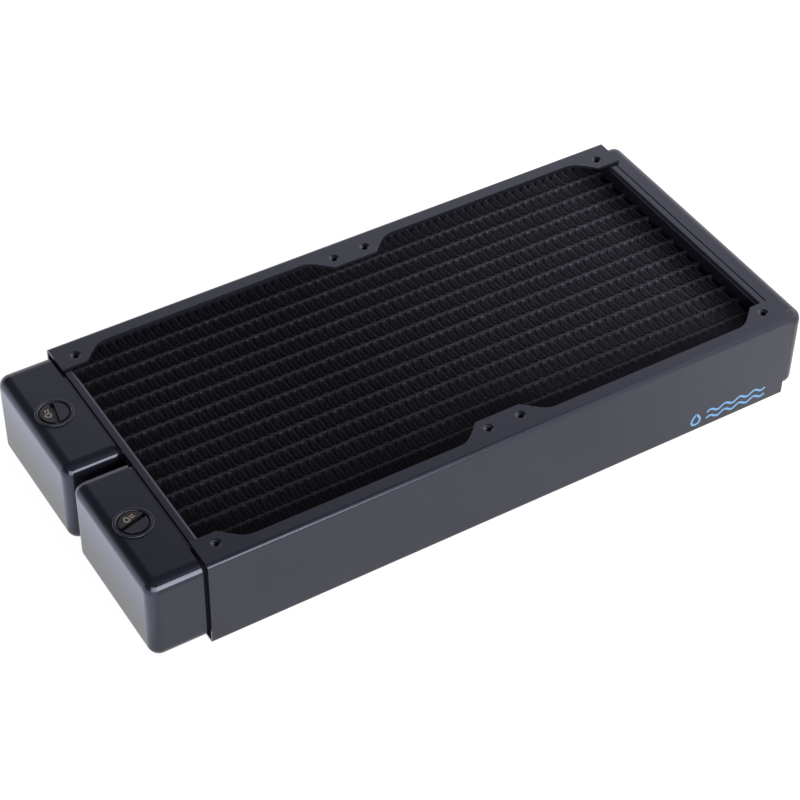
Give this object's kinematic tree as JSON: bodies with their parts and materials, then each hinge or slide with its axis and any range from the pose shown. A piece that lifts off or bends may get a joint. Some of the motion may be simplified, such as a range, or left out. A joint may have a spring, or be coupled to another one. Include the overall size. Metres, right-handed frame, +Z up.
{
  "type": "liquid cooling radiator",
  "caption": "Flat liquid cooling radiator with folded side plates for fans, a finned tube core, pressed end tanks and threaded ports closed by slotted screw plugs.",
  "frame": {"origin": "centre of the whole radiator's bounding box in X and Y, on the plane of the bottom flanges", "axes": "+X along the tubes from the port end to the return end, +Y across the tubes, -Y on the front side plate's side, +Z up through the core, the way the air goes"},
  "size_m": [0.315, 0.144, 0.044],
  "materials": {
    "black_plate_paint": "satin blue-black powder coat",
    "black_tank_paint": "semi-gloss black paint",
    "black_core_paint": "satin black paint on thin sheet",
    "black_bush_finish": "satin black",
    "black_plug_plastic": "satin black, with a small gold printed mark",
    "seal_rubber": "matt black",
    "blue_print": "printed light blue mark on the front side plate",
    "gold_print": "printed gold mark on each plug"
  },
  "bodies": {
    "radiator": {"side_plate_front": "black_plate_paint", "side_plate_rear": "black_plate_paint", "header_plate_ports": "black_tank_paint", "header_plate_return": "black_tank_paint", "tank_return": "black_tank_paint", "tank_inlet": "black_tank_paint", "tank_outlet": "black_tank_paint", "tube_01": "black_core_paint", "tube_02": "black_core_paint", "tube_03": "black_core_paint", "tube_04": "black_core_paint", "tube_05": "black_core_paint", "tube_06": "black_core_paint", "tube_07": "black_core_paint", "tube_08": "black_core_paint", "tube_09": "black_core_paint", "tube_10": "black_core_paint", "tube_11": "black_core_paint", "tube_12": "black_core_paint", "tube_13": "black_core_paint", "tube_14": "black_core_paint", "fin_strip_01": "black_core_paint", "fin_strip_02": "black_core_paint", "fin_strip_03": "black_core_paint", "fin_strip_04": "black_core_paint", "fin_strip_05": "black_core_paint", "fin_strip_06": "black_core_paint", "fin_strip_07": "black_core_paint", "fin_strip_08": "black_core_paint", "fin_strip_09": "black_core_paint", "fin_strip_10": "black_core_paint", "fin_strip_11": "black_core_paint", "fin_strip_12": "black_core_paint", "fin_strip_13": "black_core_paint", "fin_strip_14": "black_core_paint", "fin_strip_15": "black_core_paint", "port_bush_inlet_top": "black_bush_finish", "port_bush_inlet_bottom": "black_bush_finish", "port_bush_outlet_top": "black_bush_finish", "port_bush_outlet_bottom": "black_bush_finish"},
    "seal_inlet": {"plug_seal_inlet": "seal_rubber"},
    "plug_inlet": {"port_plug_inlet": "black_plug_plastic"},
    "seal_outlet": {"plug_seal_outlet": "seal_rubber"},
    "plug_outlet": {"port_plug_outlet": "black_plug_plastic"}
  },
  "joints": [
    {"name": "plug_inlet_lift", "type": "slide", "parent": "radiator", "child": "seal_inlet", "axis": [0, 0, 1], "range_m": [0, 0.006]},
    {"name": "plug_inlet_turn", "type": "hinge", "parent": "seal_inlet", "child": "plug_inlet", "pos_m": [-0.1463, -0.03575, 0.0427], "axis": [0, 0, 1], "range_deg": [0, 1620]},
    {"name": "plug_outlet_lift", "type": "slide", "parent": "radiator", "child": "seal_outlet", "axis": [0, 0, 1], "range_m": [0, 0.006]},
    {"name": "plug_outlet_turn", "type": "hinge", "parent": "seal_outlet", "child": "plug_outlet", "pos_m": [-0.1463, 0.03575, 0.0427], "axis": [0, 0, 1], "range_deg": [0, 1620]}
  ],
  "couplings": [
    {"joint": "plug_inlet_turn", "follows": "plug_inlet_lift", "rad_per_m": 4699.5},
    {"joint": "plug_outlet_turn", "follows": "plug_outlet_lift", "rad_per_m": 4699.5}
  ]
}
